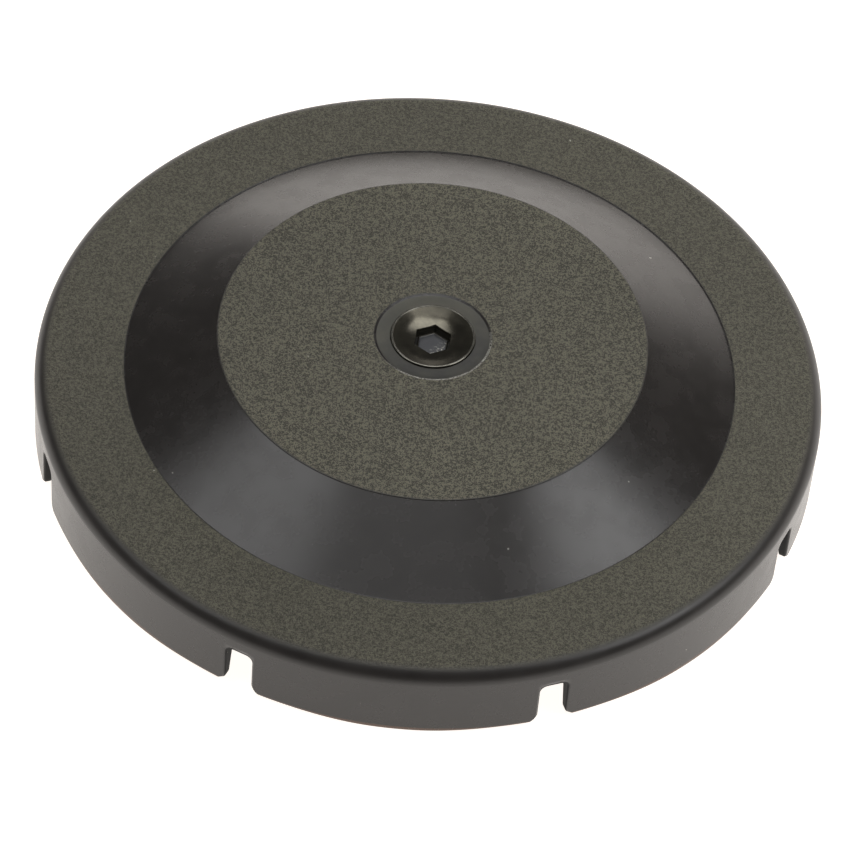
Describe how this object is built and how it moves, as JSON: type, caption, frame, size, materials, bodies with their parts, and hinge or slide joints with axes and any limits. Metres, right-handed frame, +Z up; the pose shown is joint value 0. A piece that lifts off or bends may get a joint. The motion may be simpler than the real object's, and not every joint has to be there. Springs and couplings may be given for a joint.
{
  "type": "security tag detacher",
  "caption": "Slim round counter-top magnetic tag detacher: hat-shaped black moulded cover with a notched skirt and a centre screw over a ring of magnets on a low base.",
  "frame": {"origin": "middle of the footprint at the counter, under the feet", "axes": "+Z up through the centre screw towards the working face; a rib under the cover and a foot lie on +X, and the skirt's slots start 22.5 degrees round from it"},
  "size_m": [0.097, 0.097, 0.0161],
  "materials": {
    "cover_plastic": "dark olive-black moulding, fine grained rim and plateau, satin cone and skirt",
    "black_screw": "glossy black finish on a steel screw",
    "spring_steel": "phosphated spring steel",
    "black_nylon": "black nylon, satin",
    "tray_plastic": "black moulding with a fine spark grain",
    "yoke_steel": "zinc plated mild steel",
    "brass": "turned brass",
    "carrier_plastic": "natural glass-filled nylon",
    "nickel_plate": "satin nickel plate on a sintered magnet",
    "band_aluminium": "rolled aluminium strip",
    "lid_steel": "brushed stainless sheet",
    "foam": "dark grey closed-cell foam",
    "zinc_plate": "bright zinc plate",
    "pin_steel": "ground steel",
    "seal_foam": "black sponge rubber",
    "label_film": "blank matt label film",
    "foot_rubber": "black moulded rubber"
  },
  "bodies": {
    "base": {"base_tray": "tray_plastic", "steel_yoke": "yoke_steel", "centre_bush": "brass", "magnet_carrier": "carrier_plastic", "core_magnet": "nickel_plate", "pole_cap": "yoke_steel", "retaining_band": "band_aluminium", "magnet_lid": "lid_steel", "foam_pad": "foam", "carrier_screws": "zinc_plate", "mounting_inserts": "brass", "locating_pins": "pin_steel", "dust_seal": "seal_foam", "rating_label": "label_film", "ring_magnet_1": "nickel_plate", "ring_magnet_2": "nickel_plate", "ring_magnet_3": "nickel_plate", "ring_magnet_4": "nickel_plate", "ring_magnet_5": "nickel_plate", "ring_magnet_6": "nickel_plate", "ring_magnet_7": "nickel_plate", "ring_magnet_8": "nickel_plate", "foot_1": "foot_rubber", "foot_2": "foot_rubber", "foot_3": "foot_rubber", "foot_4": "foot_rubber", "foot_5": "foot_rubber", "foot_6": "foot_rubber"},
    "cover": {"top_cover": "cover_plastic", "sealing_washer": "black_nylon"},
    "screw": {"centre_screw": "black_screw", "screw_clip": "spring_steel"}
  },
  "joints": [
    {"name": "cover_lift", "type": "slide", "parent": "base", "child": "cover", "axis": [0, 0, 1], "range_m": [0, 0.03]},
    {"name": "screw_turn", "type": "hinge", "parent": "cover", "child": "screw", "pos_m": [0, 0, 0.015], "axis": [0, 0, 1], "continuous": true}
  ]
}
